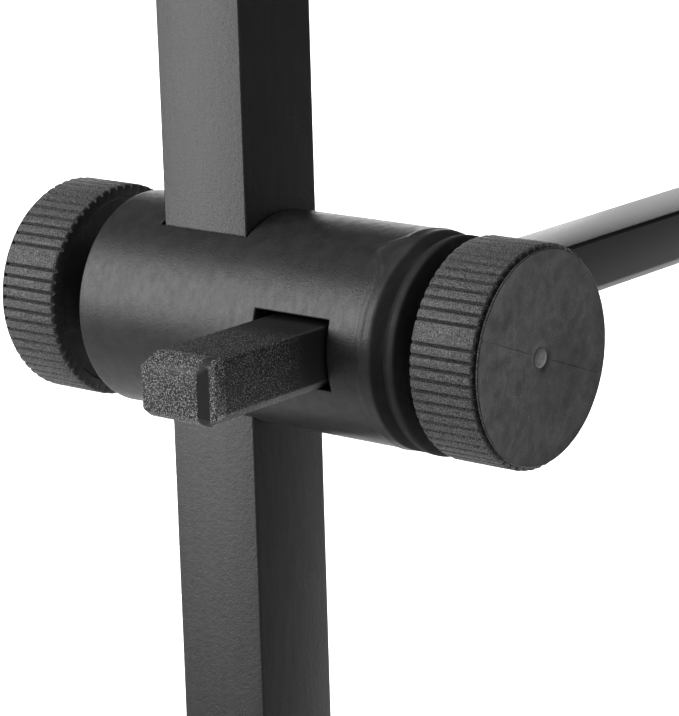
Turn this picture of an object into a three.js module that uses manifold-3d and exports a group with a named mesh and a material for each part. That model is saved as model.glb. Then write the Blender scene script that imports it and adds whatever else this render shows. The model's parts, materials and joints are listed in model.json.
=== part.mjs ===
// A floor-standing music stand: a square post on a low base, a round cross clamp
// that slides on the post, a reach arm through the clamp, and a tilting desk.
// Millimetres, +Z up. The reader stands on the +Y side.
import * as THREE from "three";
import { mergeVertices } from "three/addons/utils/BufferGeometryUtils.js";
import Module from "manifold-3d";

const wasm = await Module();
wasm.setup();

// ---- driving dimensions ----
const GAP = 0.3; // clearance wherever two pieces meet

const POST = { side: 20, wall: 1.5, edge: 0.4, top: 1190 };
const CLAMP = {
  height: 950, radius: 20, bore: 16.5, left: -23.5, right: 50.5,
  lipRadius: 20.3, lipLength: 3, postHole: 20.8, armHole: [16.8, 12.8], plate: 5,
};
const ARM = {
  x: 27.5, width: 15.6, height: 12, edge: 1.8, wall: 1.5, front: -50.2, back: 395,
  cap: 4, capBevel: 1.6,
};
const STUD = { radius: 4, hole: 4 + GAP };
const KNOB = { radius: 20.3, length: 14.4, ribs: 60, groove: 0.65, bevel: 0.9, grip: 9 };
const SHOE = { thickness: 4, pocket: 2, postRadius: 7, armRadius: 5.5 };
const KNOB_STANDOFF = { post: 6.5, arm: 3.5 };
const PLUG = { stem: 12, edge: 0.8 };

const BASE = {
  halfWidth: 200, front: 430, tubeWidth: 40, tubeHeight: 20, wall: 1.5, edge: 1.5,
  foot: 8, footRadius: 15, footInset: 25, flange: 4,
};
const SOCKET = {
  height: 60, wall: 3, edge: 1, floor: 2, plate: 5, plateSize: [64, 38], plateEdge: 4, screws: [18, 44],
};
const SOCKET_SCREW = {
  radius: 3, headRadius: 5.2, faceRadius: 4, head: 3.5, rim: 1.5, recess: 1.7, recessDepth: 1.9,
};

const PIVOT = { y: 385, lift: 65, ear: 6, earRadius: 14, span: 18, washer: 1.2, washerRadius: 11 };
const YOKE = { halfWidth: 15, front: 365, back: 405, low: -13, high: 16, screws: [373, 389] };
const YOKE_SCREW = { radius: 2.5, headRadius: 4.3, head: 4, recess: 2, recessDepth: 2 };
const TILT_BOLT = { headRadius: 8, faceRadius: 5, head: 5, rim: 2 };
const TILT_WASHER = { radius: 9, thickness: 1.5 };
const TILT_KNOB = { radius: 16, length: 14, ribs: 48, groove: 0.6, bevel: 0.8, grip: 12 };

const DESK = {
  width: 480, below: 40, above: 280, sheet: 1.2, back: 26.3, corner: 20, fold: 9,
  lean: THREE.MathUtils.degToRad(25),
};
const BRACKET = {
  plate: 4, width: 90, low: -28, high: 52, tongueRadius: 12, tongueLow: -18, tongueHigh: 30,
  screws: [[-34, -18], [34, -18], [-34, 42], [34, 42]],
};
const BRACKET_SCREW = { radius: 2.5, headRadius: 4.6, head: 2.4, nutRadius: 4.6, nut: 4, tail: 1 };
const LEDGE = { depth: 46, lip: 17, flange: 11, rivets: [-190, 0, 190] };
const RIVET = { radius: 1.6, headRadius: 3.2, domeRadius: 2.6, head: 1.1 };
const TRIM = { wall: 1.2, depth: 4, crown: 0.6 };
const CLIP = { x: 150, width: 9, gauge: 2, pin: 1.5, tip: 95, barrel: 2 };
const LUG = { ear: 3, plate: 2, height: 11, pinOut: 7, pinUp: 5, margin: 3 };

// ---- finishes ----
const finish = (color, roughness, metalness) =>
  new THREE.MeshStandardMaterial({ color, roughness, metalness });
const powderCoat = finish(0x2e2e30, 0.62, 0.1);
const satinPaint = finish(0x252527, 0.38, 0.1);
const armCoat = finish(0x29292b, 0.7, 0.1);
const blackPlastic = finish(0x212122, 0.78, 0);
const nylon = finish(0xd8d4c8, 0.6, 0);
const rubber = finish(0x171717, 0.9, 0);
const zincSteel = finish(0x8d9094, 0.35, 0.9);
const blackSteel = finish(0x1b1b1c, 0.45, 0.8);

// ---- shapes ----
function octagon(width, height, edge) {
  const w = width / 2;
  const h = height / 2;
  return [
    [w - edge, -h], [w, -h + edge], [w, h - edge], [w - edge, h],
    [-w + edge, h], [-w, h - edge], [-w, -h + edge], [-w + edge, -h],
  ];
}

function rectangle(x0, y0, x1, y1) {
  return [[x0, y0], [x1, y0], [x1, y1], [x0, y1]];
}

// An arc of points about a centre, both ends included.
function arc([x, y], radius, from, to, steps) {
  const points = [];
  for (let i = 0; i <= steps; i++) {
    const angle = from + ((to - from) * i) / steps;
    points.push([x + radius * Math.cos(angle), y + radius * Math.sin(angle)]);
  }
  return points;
}

const ordered = (a, b) => [Math.min(a, b), Math.max(a, b)];

function shapeOf(outline, ...holes) {
  const vectors = (points) => points.map(([x, y]) => new THREE.Vector2(x, y));
  const shape = new THREE.Shape(vectors(outline));
  shape.holes = holes.map((hole) => new THREE.Path(vectors(hole)));
  return shape;
}

// Extrudes along x (outline in y, z), y (outline in x, z) or z (outline in x, y).
function extrude(shape, axis, from, to, bevel = 0) {
  const geometry = new THREE.ExtrudeGeometry(shape, {
    depth: to - from - 2 * bevel,
    bevelEnabled: bevel > 0,
    bevelSize: bevel,
    bevelThickness: bevel,
    bevelSegments: 1,
    bevelOffset: -bevel,
  });
  geometry.translate(0, 0, bevel);
  const X = new THREE.Vector3(1, 0, 0);
  const Y = new THREE.Vector3(0, 1, 0);
  const Z = new THREE.Vector3(0, 0, 1);
  if (axis === "x") {
    geometry.applyMatrix4(new THREE.Matrix4().makeBasis(Y, Z, X));
    geometry.translate(from, 0, 0);
  } else if (axis === "y") {
    geometry.applyMatrix4(new THREE.Matrix4().makeBasis(X, Z, Y.negate()));
    geometry.translate(0, to, 0);
  } else {
    geometry.translate(0, 0, from);
  }
  return geometry;
}

// Turns a closed profile of [radius, position] pairs about an axis.
function turn(profile, axis, segments = 32) {
  const points = profile.map(([r, a]) => new THREE.Vector2(r, a));
  const geometry = new THREE.LatheGeometry(points, segments);
  if (axis === "x") geometry.rotateZ(-Math.PI / 2);
  if (axis === "z") geometry.rotateX(Math.PI / 2);
  return geometry;
}

function rod(axis, radius, from, to, segments = 20) {
  return turn([[0, from], [radius, from], [radius, to], [0, to]], axis, segments);
}

function ring(axis, inner, outer, from, to, segments = 32) {
  return turn([[inner, from], [outer, from], [outer, to], [inner, to], [inner, from]], axis, segments);
}

function block(x0, x1, y0, y1, z0, z1) {
  const geometry = new THREE.BoxGeometry(x1 - x0, y1 - y0, z1 - z0);
  return geometry.translate((x0 + x1) / 2, (y0 + y1) / 2, (z0 + z1) / 2);
}

function at(geometry, x, y, z) {
  return geometry.translate(x, y, z);
}

// ---- joins and cuts ----
function toSolid(geometry) {
  const bare = geometry.index ? geometry.toNonIndexed() : geometry.clone();
  bare.deleteAttribute("normal");
  bare.deleteAttribute("uv");
  const merged = mergeVertices(bare, 1e-4);
  const index = merged.index.array;
  const triangles = [];
  for (let i = 0; i < index.length; i += 3) {
    const [a, b, c] = [index[i], index[i + 1], index[i + 2]];
    if (a !== b && b !== c && c !== a) triangles.push(a, b, c);
  }
  return new wasm.Manifold(new wasm.Mesh({
    numProp: 3,
    vertProperties: new Float32Array(merged.attributes.position.array),
    triVerts: new Uint32Array(triangles),
  }));
}

function fromSolid(solid) {
  const mesh = solid.getMesh();
  const geometry = new THREE.BufferGeometry();
  geometry.setAttribute("position", new THREE.BufferAttribute(mesh.vertProperties, 3));
  geometry.setIndex(new THREE.BufferAttribute(mesh.triVerts, 1));
  return geometry;
}

function cut(body, ...tools) {
  return fromSolid(tools.reduce((left, tool) => left.subtract(toSolid(tool)), toSolid(body)));
}

function join(body, ...others) {
  return fromSolid(others.reduce((left, other) => left.add(toSolid(other)), toSolid(body)));
}

// ---- assembly helpers ----
const stand = new THREE.Group();

function addTo(group, name, geometry, material) {
  const mesh = new THREE.Mesh(geometry, material);
  mesh.name = name;
  group.add(mesh);
  return mesh;
}

// A square or oblong hollow section along an axis.
function boxTube(width, height, edge, wall, axis, from, to) {
  const innerEdge = Math.max(edge - wall / 2, 0.2);
  const inside = octagon(width - 2 * wall, height - 2 * wall, innerEdge);
  return extrude(shapeOf(octagon(width, height, edge), inside), axis, from, to);
}

// A plastic plug: a flange that covers the tube's end and a stem that goes inside it.
// The tube ends at `end`, and the flange lies on the side that `outward` points to.
function tubePlug({ width, height, edge, wall }, axis, end, outward, flange) {
  const clearWidth = width - 2 * (wall + GAP);
  const clearHeight = height - 2 * (wall + GAP);
  const near = end + outward * GAP;
  const far = near + outward * flange;
  const deep = end - outward * PLUG.stem;
  const cap = extrude(shapeOf(octagon(width, height, edge)), axis, ...ordered(near, far));
  const section = shapeOf(octagon(clearWidth, clearHeight, PLUG.edge));
  const stem = extrude(section, axis, ...ordered(deep, near + outward));
  return join(cap, stem);
}

// ---- base ----
function addBase(group) {
  const { halfWidth, front, tubeWidth, tubeHeight, wall, edge, foot, footInset, flange } = BASE;
  const tube = { width: tubeWidth, height: tubeHeight, edge, wall };
  const level = foot + tubeHeight / 2;
  const back = tubeWidth / 2;
  const end = halfWidth - flange;

  const crossbar = boxTube(tubeWidth, tubeHeight, edge, wall, "x", -end, end);
  addTo(group, "base_crossbar", at(crossbar, 0, 0, level), powderCoat);

  for (const [side, sign] of [["left", -1], ["right", 1]]) {
    const plug = tubePlug(tube, "x", sign * end, sign, flange - GAP);
    addTo(group, `crossbar_cap_${side}`, at(plug, 0, 0, level), blackPlastic);

    const legX = sign * (end - tubeWidth / 2);
    const leg = boxTube(tubeWidth, tubeHeight, edge, wall, "y", back + GAP, front - flange);
    addTo(group, `base_leg_${side}`, at(leg, legX, 0, level), powderCoat);
    const legPlug = tubePlug(tube, "y", front - flange, 1, flange - GAP);
    addTo(group, `leg_cap_${side}`, at(legPlug, legX, 0, level), blackPlastic);

    for (const [place, y] of [["rear", 0], ["front", front - footInset]]) {
      addTo(group, `foot_${place}_${side}`, at(footPad(), legX, y, 0), rubber);
    }
  }
}

function footPad() {
  const { foot, footRadius } = BASE;
  const bevel = 2;
  const top = foot - GAP;
  const profile = [[0, 0], [footRadius - bevel, 0], [footRadius, bevel], [footRadius - 1, top], [0, top]];
  return turn(profile, "z", 28);
}

// ---- post and its socket ----
function addPost(group) {
  const bottom = BASE.foot + BASE.tubeHeight + GAP;
  addSocket(group, bottom);

  const { side, edge, wall, top } = POST;
  const flange = 4;
  const tube = boxTube(side, side, edge, wall, "z", bottom + SOCKET.floor + GAP, top - flange);
  addTo(group, "post_tube", tube, powderCoat);
  const section = { width: side, height: side, edge, wall };
  const topCap = tubePlug(section, "z", top - flange, 1, flange - GAP);
  addTo(group, "post_top_cap", topCap, blackPlastic);
}

function addSocket(group, bottom) {
  const { height, wall, edge, floor, plate, plateSize, plateEdge, screws } = SOCKET;
  const top = bottom + height;
  const outer = POST.side + 2 * (GAP + wall);
  const half = POST.side / 2 + GAP;

  const sleeve = extrude(shapeOf(octagon(outer, outer, edge)), "z", bottom, top);
  const flange = extrude(shapeOf(octagon(...plateSize, plateEdge)), "z", bottom, bottom + plate);
  const well = block(-half, half, -half, half, bottom + floor, top + 1);
  const holes = screws.map((z) =>
    at(rod("y", SOCKET_SCREW.radius + GAP, -outer, 0, 16), 0, 0, bottom + z));
  addTo(group, "post_socket", cut(join(sleeve, flange), well, ...holes), powderCoat);

  screws.forEach((z, i) => {
    const name = `socket_screw_${i === 0 ? "lower" : "upper"}`;
    addTo(group, name, at(socketScrew(-outer / 2), 0, 0, bottom + z), blackSteel);
  });
}

// A set screw through the socket's rear face, which lies at y = face.
function socketScrew(face) {
  const { radius, headRadius, faceRadius, head, rim, recess, recessDepth } = SOCKET_SCREW;
  const profile = [
    [0, face - head], [faceRadius, face - head], [headRadius, face - rim], [headRadius, face - GAP],
    [0, face - GAP],
  ];
  const shank = rod("y", radius, face - 1, -POST.side / 2 - GAP, 16);
  const hexagon = rod("y", recess, face - head - 1, face - head + recessDepth, 6);
  return cut(join(turn(profile, "y", 20), shank), hexagon);
}

// ---- cross clamp ----
function addClamp(group) {
  const { radius, bore, left, right, lipRadius, lipLength, postHole, armHole, plate } = CLAMP;
  const lipBevel = 0.4;
  const profile = [
    [bore, left], [radius, left], [radius, right - lipLength], [lipRadius, right - lipLength / 3],
    [lipRadius - lipBevel, right], [bore, right], [bore, left],
  ];
  const half = postHole / 2;
  const [halfWidth, halfHeight] = armHole.map((size) => size / 2);
  const through = 2 * radius;
  const housing = cut(
    turn(profile, "x", 64),
    block(-half, half, -half, half, -through, through),
    block(ARM.x - halfWidth, ARM.x + halfWidth, -through, through, -halfHeight, halfHeight),
  );
  addTo(group, "clamp_housing", housing, satinPaint);

  const plates = [["left", left + GAP, left + plate], ["right", right - plate, right - GAP]];
  for (const [side, from, to] of plates) {
    addTo(group, `clamp_plate_${side}`, ring("x", STUD.hole, bore - GAP, from, to, 40), blackSteel);
  }
}

// ---- ribbed hand knob ----
// The back of the knob is at `from`; its face looks along outward (+1 or -1) on x.
function ribbedKnob({ radius, length, ribs, groove, bevel }, from, outward, boreDepth) {
  const outline = [];
  const pitch = (2 * Math.PI) / ribs;
  const landShare = 0.62;
  const rib = [[0, radius], [landShare, radius], [(1 + landShare) / 2, radius - groove]];
  for (let i = 0; i < ribs; i++) {
    for (const [share, r] of rib) {
      const angle = (i + share) * pitch;
      outline.push([r * Math.cos(angle), r * Math.sin(angle)]);
    }
  }
  const body = extrude(shapeOf(outline), "x", ...ordered(from, from + outward * length), bevel);
  const hole = rod("x", STUD.hole, ...ordered(from - outward, from + outward * boreDepth));
  return cut(body, hole);
}

// A clamp screw pressing along x: its shoe, stud and knob. `face` is the bar's face and
// `outward` the side on which the knob sits.
function addScrew(group, prefix, face, outward, shoeRadius, knobFrom) {
  const shoeFrom = face + outward * GAP;
  const shoeTo = shoeFrom + outward * SHOE.thickness;
  const pocketFloor = shoeTo - outward * SHOE.pocket;
  const shoe = rod("x", shoeRadius, ...ordered(shoeFrom, shoeTo), 28);
  const pocket = rod("x", STUD.hole, ...ordered(pocketFloor, shoeTo + outward), 20);
  addTo(group, `${prefix}_shoe`, cut(shoe, pocket), nylon);

  const tip = pocketFloor + outward * GAP;
  const end = knobFrom + outward * KNOB.grip;
  const knob = ribbedKnob(KNOB, knobFrom, outward, KNOB.grip + GAP);
  addTo(group, `${prefix}_stud`, rod("x", STUD.radius, ...ordered(tip, end), 20), zincSteel);
  addTo(group, `${prefix}_knob`, knob, blackPlastic);
}

// ---- reach arm ----
function addArm(group) {
  const { width, height, edge, wall, front, back, cap } = ARM;
  const bar = boxTube(width, height, edge, wall, "y", front + cap, back);
  addTo(group, "arm_bar", bar, armCoat);
  addTo(group, "arm_front_cap", armCap(), armCoat);
}

// The cap's front edges are bevelled above, below and on the right.
function armCap() {
  const { width, height, edge, wall, front, cap, capBevel } = ARM;
  const stemLength = 10;
  const seat = front + cap - GAP;
  const body = extrude(shapeOf(octagon(width, height, edge)), "y", front, seat);
  const right = extrude(shapeOf(cornerWedge(width / 2, front, capBevel)), "z", -height, height);
  const swap = (points) => points.map(([side, along]) => [along, side]);
  const above = extrude(shapeOf(swap(cornerWedge(height / 2, front, capBevel))), "x", -width, width);
  const flip = (points) => points.map(([side, along]) => [along, -side]);
  const below = extrude(shapeOf(flip(cornerWedge(height / 2, front, capBevel))), "x", -width, width);
  const section = octagon(width - 2 * (wall + GAP), height - 2 * (wall + GAP), PLUG.edge);
  const stem = extrude(shapeOf(section), "y", seat - 1, seat + stemLength);
  return join(cut(body, right, above, below), stem);
}

// A triangle whose long side bevels the corner between a side face and the front face.
function cornerWedge(side, front, bevel) {
  const reach = 3;
  return [
    [side - bevel - reach, front - reach],
    [side + reach, front + bevel + reach],
    [side + reach, front - reach],
  ];
}

// ---- yoke and tilt pivot at the arm's far end ----
function addYoke(group) {
  const { halfWidth, front, back, low, high, screws } = YOKE;
  const { y, lift, ear, earRadius } = PIVOT;
  const body = block(-halfWidth, halfWidth, front, back, low, high);
  const foot = [[y - earRadius, high - 2], [y + earRadius, high - 2]];
  const earShape = shapeOf([...foot, ...arc([y, lift], earRadius, 0, Math.PI, 12)]);
  const ears = [
    extrude(earShape, "x", halfWidth - ear, halfWidth),
    extrude(earShape, "x", -halfWidth, -halfWidth + ear),
  ];
  const halfPocket = ARM.width / 2 + GAP;
  const halfDepth = ARM.height / 2 + GAP;
  const pocket = block(-halfPocket, halfPocket, front - 1, ARM.back + GAP, -halfDepth, halfDepth);
  const pivotHole = at(rod("x", STUD.hole, -2 * halfWidth, 2 * halfWidth), 0, y, lift);
  const screwHoles = screws.map((along) =>
    at(rod("x", YOKE_SCREW.radius + GAP, -2 * halfWidth, 0, 16), 0, along, 0));
  addTo(group, "arm_yoke", cut(join(body, ...ears), pocket, pivotHole, ...screwHoles), powderCoat);

  screws.forEach((along, i) => {
    addTo(group, `yoke_screw_${i === 0 ? "front" : "rear"}`, at(yokeScrew(), 0, along, 0), blackSteel);
  });
  addTo(group, "tilt_bolt", at(tiltBolt(), 0, y, lift), zincSteel);
}

function yokeScrew() {
  const { radius, headRadius, head, recess, recessDepth } = YOKE_SCREW;
  const face = -YOKE.halfWidth;
  const shank = rod("x", radius, face - 1, -ARM.width / 2 - GAP, 16);
  const top = rod("x", headRadius, face - head, face - GAP, 20);
  const hexagon = rod("x", recess, face - head - 1, face - head + recessDepth, 6);
  return cut(join(top, shank), hexagon);
}

function tiltBolt() {
  const { headRadius, faceRadius, head, rim } = TILT_BOLT;
  const face = -YOKE.halfWidth;
  const knobFrom = YOKE.halfWidth + TILT_WASHER.thickness + 2 * GAP;
  const shank = rod("x", STUD.radius, face - 1, knobFrom + TILT_KNOB.grip);
  const profile = [
    [0, face - head], [faceRadius, face - head], [headRadius, face - rim], [headRadius, face - GAP],
    [0, face - GAP],
  ];
  return join(turn(profile, "x", 24), shank);
}

function addTiltKnob(group) {
  const { y, lift } = PIVOT;
  const washerFrom = YOKE.halfWidth + GAP;
  const washerTo = washerFrom + TILT_WASHER.thickness;
  const washer = ring("x", STUD.hole, TILT_WASHER.radius, washerFrom, washerTo, 28);
  const knob = ribbedKnob(TILT_KNOB, washerTo + GAP, 1, TILT_KNOB.grip + GAP);
  addTo(group, "tilt_washer", at(washer, 0, y, lift), zincSteel);
  addTo(group, "tilt_knob", at(knob, 0, y, lift), blackPlastic);
}

// ---- desk: local x across, y towards the reader, z up the panel, origin at the pivot ----
function deskOutline(inset) {
  const { width, below, above, corner } = DESK;
  const half = width / 2 - inset;
  const radius = corner - inset;
  const level = above - corner;
  return [
    [-half, -below], [half, -below],
    ...arc([half - radius, level], radius, 0, Math.PI / 2, 6),
    ...arc([radius - half, level], radius, Math.PI / 2, Math.PI, 6),
  ];
}

function rivetHole(x, z) {
  const { back } = DESK;
  const reach = 6;
  return at(rod("y", RIVET.radius + GAP, back - reach, back + reach, 12), x, 0, z);
}

function bracketHole([x, z]) {
  const { back } = DESK;
  const reach = 12;
  return at(rod("y", BRACKET_SCREW.radius + GAP, back - reach, back + reach, 14), x, 0, z);
}

function addDeskPanel(group) {
  const { width, back, sheet, fold, below } = DESK;
  const front = back + sheet;
  const rimFrom = front - fold;
  const face = extrude(shapeOf(deskOutline(0)), "y", back, front);
  const foldEnd = -below + LEDGE.flange + 1;
  const rim = cut(
    extrude(shapeOf(deskOutline(0)), "y", rimFrom, back + sheet / 2),
    extrude(shapeOf(deskOutline(sheet)), "y", rimFrom - 1, front),
    block(-width, width, rimFrom - fold, front, -2 * below, foldEnd),
  );
  const rivets = LEDGE.rivets.map((x) => rivetHole(x, -below + LEDGE.flange / 2));
  const holes = BRACKET.screws.map(bracketHole);
  addTo(group, "desk_panel", cut(join(face, rim), ...holes, ...rivets), powderCoat);
}

function addBracket(group) {
  const { plate, width, low, high, tongueRadius, tongueLow, tongueHigh, screws } = BRACKET;
  const plateTo = DESK.back - GAP;
  const plateFrom = plateTo - plate;
  const halfTongue = PIVOT.span / 2 - PIVOT.washer - 2 * GAP;
  const nose = arc([0, 0], tongueRadius, Math.PI / 2, 1.5 * Math.PI, 12);
  const outline = [[plateTo - 1, tongueLow], [plateTo - 1, tongueHigh], ...nose];
  const tongue = extrude(shapeOf(outline), "x", -halfTongue, halfTongue);
  const flat = shapeOf(rectangle(-width / 2, low, width / 2, high));
  const board = extrude(flat, "y", plateFrom, plateTo);
  const pivotHole = rod("x", STUD.hole, -2 * halfTongue, 2 * halfTongue);
  const bracket = cut(join(board, tongue), pivotHole, ...screws.map(bracketHole));
  addTo(group, "desk_bracket", bracket, powderCoat);

  screws.forEach(([x, z], i) => {
    addTo(group, `bracket_screw_${i + 1}`, at(bracketScrew(plateFrom), x, 0, z), blackSteel);
  });
}

// A round-headed screw through the panel and the bracket, with its nut behind.
function bracketScrew(plateFrom) {
  const { radius, headRadius, head, nutRadius, nut, tail } = BRACKET_SCREW;
  const face = DESK.back + DESK.sheet;
  const dome = [
    [0, face + GAP], [headRadius, face + GAP], [headRadius - 0.4, face + 0.65 * head],
    [headRadius / 2, face + head], [0, face + head],
  ];
  const nutTo = plateFrom - GAP;
  const shank = rod("y", radius, nutTo - nut - tail, face + 1, 14);
  return join(turn(dome, "y", 20), shank, rod("y", nutRadius, nutTo - nut, nutTo, 6));
}

function addTiltWashers(group) {
  const { span, washer, washerRadius } = PIVOT;
  const inner = span / 2 - GAP - washer;
  for (const [side, sign] of [["left", -1], ["right", 1]]) {
    const sides = ordered(sign * inner, sign * (inner + washer));
    addTo(group, `friction_washer_${side}`, ring("x", STUD.hole, washerRadius, ...sides, 28), nylon);
  }
}

// The ledge is one folded sheet: a flange behind the panel, a shelf, and a lip.
function addLedge(group) {
  const { depth, lip, flange, rivets } = LEDGE;
  const { width, back, sheet, below } = DESK;
  const flangeTo = back - GAP;
  const flangeFrom = flangeTo - sheet;
  const flangeTop = -below + flange;
  const shelfTop = -below - GAP;
  const shelfLow = shelfTop - sheet;
  const lipTo = back + sheet + depth;
  const lipTop = shelfLow + lip;
  const outline = [
    [flangeFrom, shelfLow], [lipTo, shelfLow], [lipTo, lipTop], [lipTo - sheet, lipTop],
    [lipTo - sheet, shelfTop], [flangeTo, shelfTop], [flangeTo, flangeTop], [flangeFrom, flangeTop],
  ];
  const sheetMetal = extrude(shapeOf(outline), "x", -width / 2, width / 2);
  const rivetLevel = -below + flange / 2;
  const holes = rivets.map((x) => rivetHole(x, rivetLevel));
  addTo(group, "music_ledge", cut(sheetMetal, ...holes), powderCoat);
  rivets.forEach((x, i) => {
    const rivet = ledgeRivet(flangeFrom - GAP, back + sheet + GAP);
    addTo(group, `ledge_rivet_${i + 1}`, at(rivet, x, 0, rivetLevel), blackSteel);
  });
  addTo(group, "lip_trim", lipTrim(lipTo, lipTop + GAP), rubber);
}

function ledgeRivet(rear, front) {
  const { radius, headRadius, domeRadius, head } = RIVET;
  const profile = [
    [0, rear - head], [domeRadius, rear - head], [headRadius, rear], [radius, rear],
    [radius, front], [headRadius, front], [domeRadius, front + head], [0, front + head],
  ];
  return turn(profile, "y", 16);
}

// A soft channel pressed over the lip's top edge.
function lipTrim(lipTo, top) {
  const { wall, depth, crown } = TRIM;
  const inFrom = lipTo - DESK.sheet - GAP;
  const inTo = lipTo + GAP;
  const outline = [
    [inFrom - wall, top - depth], [inFrom, top - depth], [inFrom, top], [inTo, top],
    [inTo, top - depth], [inTo + wall, top - depth], [inTo + wall, top + crown],
    [inTo, top + wall], [inFrom, top + wall], [inFrom - wall, top + crown],
  ];
  return extrude(shapeOf(outline), "x", -DESK.width / 2, DESK.width / 2);
}

// A page clip hinges on a pin in a lug on the lip's front, and its tip rests on the panel.
function addPageClip(group, side, x) {
  const { width, pin } = CLIP;
  const lipFace = DESK.back + DESK.sheet + LEDGE.depth;
  const low = -DESK.below - GAP - DESK.sheet;
  const pinY = lipFace + LUG.pinOut;
  const pinZ = low + LEDGE.lip + LUG.pinUp;
  const reach = width / 2 + GAP + LUG.ear + 1;
  const pinRod = rod("x", pin, x - reach, x + reach, 16);
  addTo(group, `clip_lug_${side}`, clipLug(x, lipFace + GAP, low, pinY, pinZ), powderCoat);
  addTo(group, `clip_pin_${side}`, at(pinRod, 0, pinY, pinZ), zincSteel);
  addTo(group, `page_clip_${side}`, clipArm(x, pinY, pinZ), blackPlastic);
}

function clipLug(x, face, low, pinY, pinZ) {
  const { ear, plate, height, margin } = LUG;
  const earFrom = CLIP.width / 2 + GAP;
  const earTo = earFrom + ear;
  const outline = [
    [face + 1, low], [pinY, low], [pinY + margin + 1, pinZ - margin - 1], [pinY + margin + 1, pinZ + margin],
    [pinY - margin, pinZ + margin], [pinY - margin - 1, low + height - 1], [face + 1, low + height - 1],
  ];
  const back = block(x - earTo, x + earTo, face, face + plate, low, low + height);
  const ears = [
    extrude(shapeOf(outline), "x", x + earFrom, x + earTo),
    extrude(shapeOf(outline), "x", x - earTo, x - earFrom),
  ];
  const hole = rod("x", CLIP.pin + GAP, x - 2 * earTo, x + 2 * earTo, 16);
  return cut(join(back, ...ears), at(hole, 0, pinY, pinZ));
}

function clipArm(x, pinY, pinZ) {
  const { width, gauge, pin, tip, barrel } = CLIP;
  const half = width / 2;
  const hole = pin + GAP;
  const rest = DESK.back + DESK.sheet + GAP;
  const outline = [
    [pinY - 1, pinZ - 1], [pinY + 1.6, pinZ + 1], [rest + gauge + 6, tip - 14], [rest + gauge, tip],
    [rest + 5, tip + 10], [rest + 3, tip + 11], [rest, tip], [rest + 5, tip - 16],
  ];
  const strip = extrude(shapeOf(outline), "x", x - half, x + half);
  const round = at(rod("x", hole + barrel, x - half, x + half, 20), 0, pinY, pinZ);
  const bore = at(rod("x", hole, x - width, x + width, 16), 0, pinY, pinZ);
  return cut(join(round, strip), bore);
}

// ---- assembly ----
addBase(stand);
addPost(stand);

const clamp = new THREE.Group();
clamp.position.set(0, 0, CLAMP.height);
addClamp(clamp);
addScrew(clamp, "post", -POST.side / 2, -1, SHOE.postRadius, CLAMP.left - KNOB_STANDOFF.post);
addScrew(clamp, "arm", ARM.x + ARM.width / 2, 1, SHOE.armRadius, CLAMP.right + KNOB_STANDOFF.arm);
stand.add(clamp);

const reach = new THREE.Group();
reach.position.set(ARM.x, 0, CLAMP.height);
addArm(reach);
addYoke(reach);
addTiltKnob(reach);
stand.add(reach);

const desk = new THREE.Group();
desk.position.set(ARM.x, PIVOT.y, CLAMP.height + PIVOT.lift);
desk.rotation.x = DESK.lean;
addDeskPanel(desk);
addBracket(desk);
addTiltWashers(desk);
addLedge(desk);
addPageClip(desk, "left", -CLIP.x);
addPageClip(desk, "right", CLIP.x);
stand.add(desk);

// The origin is on the floor, under the middle of the whole stand.
const bounds = new THREE.Box3().setFromObject(stand);
const centre = bounds.getCenter(new THREE.Vector3());
stand.position.set(-centre.x, -centre.y, -bounds.min.z);

export default stand;
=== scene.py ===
import json
import math

import bmesh
import bpy
from mathutils import Matrix, Vector, noise


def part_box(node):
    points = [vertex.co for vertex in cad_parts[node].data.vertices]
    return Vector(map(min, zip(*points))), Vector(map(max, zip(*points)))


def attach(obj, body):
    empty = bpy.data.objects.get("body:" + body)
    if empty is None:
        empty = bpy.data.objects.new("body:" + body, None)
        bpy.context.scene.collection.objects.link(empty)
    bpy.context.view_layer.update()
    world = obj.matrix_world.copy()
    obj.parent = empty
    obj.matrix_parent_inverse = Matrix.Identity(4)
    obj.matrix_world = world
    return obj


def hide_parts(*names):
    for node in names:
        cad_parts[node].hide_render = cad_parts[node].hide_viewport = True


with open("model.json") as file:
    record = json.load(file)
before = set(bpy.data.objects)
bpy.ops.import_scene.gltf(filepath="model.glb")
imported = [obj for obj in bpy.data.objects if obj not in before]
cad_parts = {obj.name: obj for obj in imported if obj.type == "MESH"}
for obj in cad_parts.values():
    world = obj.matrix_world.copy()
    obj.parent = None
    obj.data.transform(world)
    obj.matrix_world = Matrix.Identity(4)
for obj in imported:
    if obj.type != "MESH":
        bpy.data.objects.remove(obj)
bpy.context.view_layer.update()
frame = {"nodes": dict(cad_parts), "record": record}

MM = 0.001
TAU = 2 * math.pi

# ---- places read from the frame ----


def span(node):
    lo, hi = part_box(node)
    return Vector(lo), Vector(hi)


def middle(node):
    lo, hi = span(node)
    return (lo + hi) / 2


POST_LO, POST_HI = span("post_tube")
BODY_LO, BODY_HI = span("clamp_housing")
ARM_LO, ARM_HI = span("arm_bar")
ARM = middle("arm_bar")
POST = middle("post_tube")
CLAMP = Vector((POST.x, POST.y, ARM.z))  # where the post and the clamp body cross
PIVOT = middle("tilt_bolt")


# ---- camera, light and floor ----


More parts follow.
